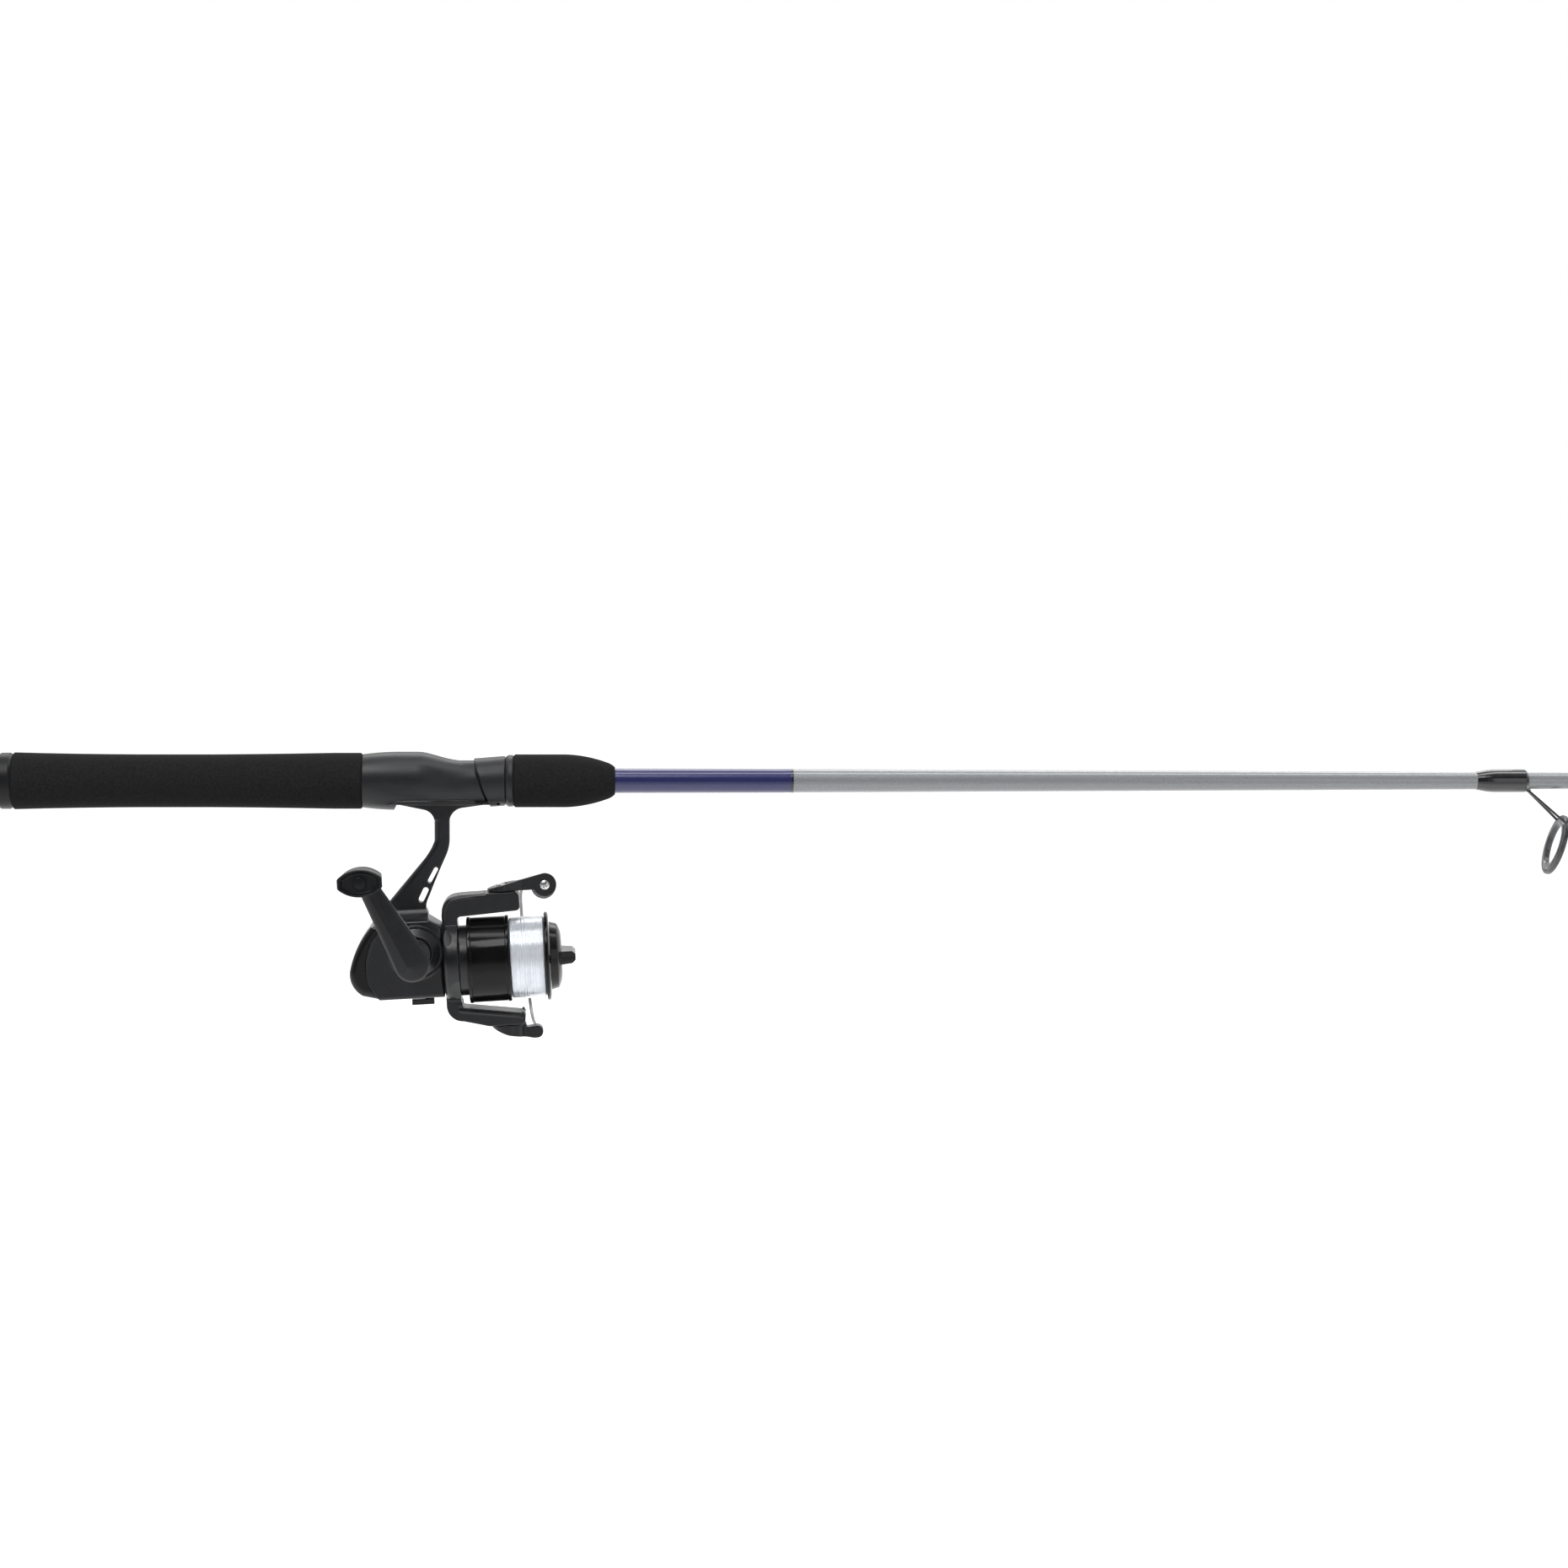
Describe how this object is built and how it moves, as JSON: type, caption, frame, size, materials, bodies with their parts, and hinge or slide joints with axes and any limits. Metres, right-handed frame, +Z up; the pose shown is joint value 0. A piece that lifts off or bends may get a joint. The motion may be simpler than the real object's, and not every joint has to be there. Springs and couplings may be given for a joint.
{
  "type": "spinning rod and reel",
  "caption": "Two-piece spinning rod with foam grips, line guides and a spinning reel: folding bail, cranked handle, stroking spool with line and front drag.",
  "frame": {"origin": "centre of the flat end face of the butt cap, on the rod's axis", "axes": "+X along the rod from the butt to the tip, +Z up; the reel hangs below the rod and its handle is on the -Y side"},
  "size_m": [1.6759, 0.1289, 0.1347],
  "materials": {
    "blank_grey": "satin grey lacquer over graphite, violet-blue near the grip",
    "brass": "turned brass",
    "chrome": "bright polished",
    "eva_foam": "matte fine-grained foam",
    "felt": "drag felt",
    "guide_ceramic": "polished dark ceramic",
    "guide_metal": "dark gunmetal",
    "knob_plastic": "satin black",
    "line_nylon": "translucent white line in ridges",
    "reel_black": "glossy black",
    "reel_charcoal": "satin charcoal paint",
    "seat_plastic": "satin charcoal",
    "spool_black": "glossy black anodised",
    "steel": "plain steel",
    "wrap_black": "glossy varnished thread",
    "zinc": "cast zinc alloy"
  },
  "bodies": {
    "rod": {"butt_cap": "seat_plastic", "rear_grip": "eva_foam", "reel_seat": "seat_plastic", "seat_arbors": "seat_plastic", "butt_blank": "blank_grey", "stripper_guide_frame": "guide_metal", "stripper_guide_ring": "guide_ceramic", "stripper_guide_wrap": "wrap_black", "reel_body": "reel_charcoal", "side_cover": "reel_charcoal", "rear_cover": "reel_black", "body_screws": "steel", "drive_bushes": "brass", "pinion_bearing": "steel", "handle_cap": "reel_black"},
    "hood": {"sliding_hood": "seat_plastic"},
    "fore_grip_nut": {"hood_nut": "seat_plastic", "fore_grip": "eva_foam"},
    "tip": {"tip_blank": "blank_grey", "ferrule_wrap": "wrap_black", "guide_2_frame": "guide_metal", "guide_2_ring": "guide_ceramic", "guide_3_frame": "guide_metal", "guide_3_ring": "guide_ceramic", "guide_4_frame": "guide_metal", "guide_4_ring": "guide_ceramic", "guide_5_frame": "guide_metal", "guide_5_ring": "guide_ceramic", "guide_wraps": "wrap_black", "tip_top_frame": "guide_metal", "tip_top_ring": "guide_ceramic"},
    "crank": {"drive_gear": "zinc", "crank_shaft": "steel", "handle_arm": "reel_charcoal", "knob_pin": "knob_plastic"},
    "knob": {"handle_knob": "knob_plastic"},
    "rotor_set": {"pinion_gear": "brass", "rotor": "reel_charcoal", "rotor_nut": "steel", "rotor_arm_cover": "reel_charcoal", "bail_spring": "steel", "bail_pivot_screws": "steel"},
    "bail": {"bail_lever": "reel_charcoal", "bail_wire": "chrome", "bail_holder": "reel_charcoal", "roller_screw": "chrome"},
    "roller": {"line_roller": "chrome"},
    "oscillator": {"oscillation_gear": "zinc"},
    "shaft": {"main_shaft": "steel", "oscillation_slider": "zinc", "drag_spring": "steel"},
    "spool_set": {"spool": "spool_black", "line_winding": "line_nylon", "drag_washers": "felt"},
    "drag": {"drag_knob": "reel_black"},
    "stop_lever": {"anti_reverse_lever": "reel_charcoal"}
  },
  "joints": [
    {"name": "hood_slide", "type": "slide", "parent": "rod", "child": "hood", "axis": [1, 0, 0], "range_m": [0, 0.009]},
    {"name": "fore_grip_turn", "type": "hinge", "parent": "hood", "child": "fore_grip_nut", "pos_m": [0.2515, 0, 0], "axis": [1, 0, 0], "range_deg": [0, 1080]},
    {"name": "tip_slide", "type": "slide", "parent": "rod", "child": "tip", "axis": [1, 0, 0], "range_m": [0, 0.05]},
    {"name": "crank_turn", "type": "hinge", "parent": "rod", "child": "crank", "pos_m": [0.20597, 0, -0.07931], "axis": [0, 1, 0], "continuous": true},
    {"name": "knob_spin", "type": "hinge", "parent": "crank", "child": "knob", "pos_m": [0.18353, -0.0572, -0.03949], "axis": [0, 1, 0], "continuous": true},
    {"name": "rotor_spin", "type": "hinge", "parent": "rod", "child": "rotor_set", "pos_m": [0.22627, 0, -0.08465], "axis": [0.9986, 0, 0.0523], "continuous": true},
    {"name": "oscillation_spin", "type": "hinge", "parent": "rod", "child": "oscillator", "pos_m": [0.19383, 0, -0.08705], "axis": [0, 1, 0], "continuous": true},
    {"name": "bail_flip", "type": "hinge", "parent": "rotor_set", "child": "bail", "pos_m": [0.24724, 0, -0.08355], "axis": [0.0523, 0, -0.9986], "range_deg": [0, 125]},
    {"name": "roller_spin", "type": "hinge", "parent": "bail", "child": "roller", "pos_m": [0.26584, 0, -0.04853], "axis": [0, 1, 0], "continuous": true},
    {"name": "spool_stroke", "type": "slide", "parent": "rod", "child": "shaft", "axis": [0.9986, 0, 0.0523], "range_m": [0, 0.012]},
    {"name": "spool_drag_slip", "type": "hinge", "parent": "shaft", "child": "spool_set", "pos_m": [0.25623, 0, -0.08308], "axis": [0.9986, 0, 0.0523], "continuous": true},
    {"name": "drag_knob_turn", "type": "hinge", "parent": "shaft", "child": "drag", "pos_m": [0.27121, 0, -0.0823], "axis": [0.9986, 0, 0.0523], "range_deg": [-360, 360]},
    {"name": "stop_lever_flip", "type": "hinge", "parent": "rod", "child": "stop_lever", "pos_m": [0.2118, 0, -0.09513], "axis": [0.9986, 0, 0.0523], "range_deg": [-20, 20]}
  ],
  "couplings": [
    {"joint": "hood_slide", "follows": "fore_grip_turn", "m_per_rad": 0.00047746},
    {"joint": "rotor_spin", "follows": "crank_turn", "ratio": -5.25},
    {"joint": "oscillation_spin", "follows": "crank_turn", "ratio": -0.63636}
  ]
}
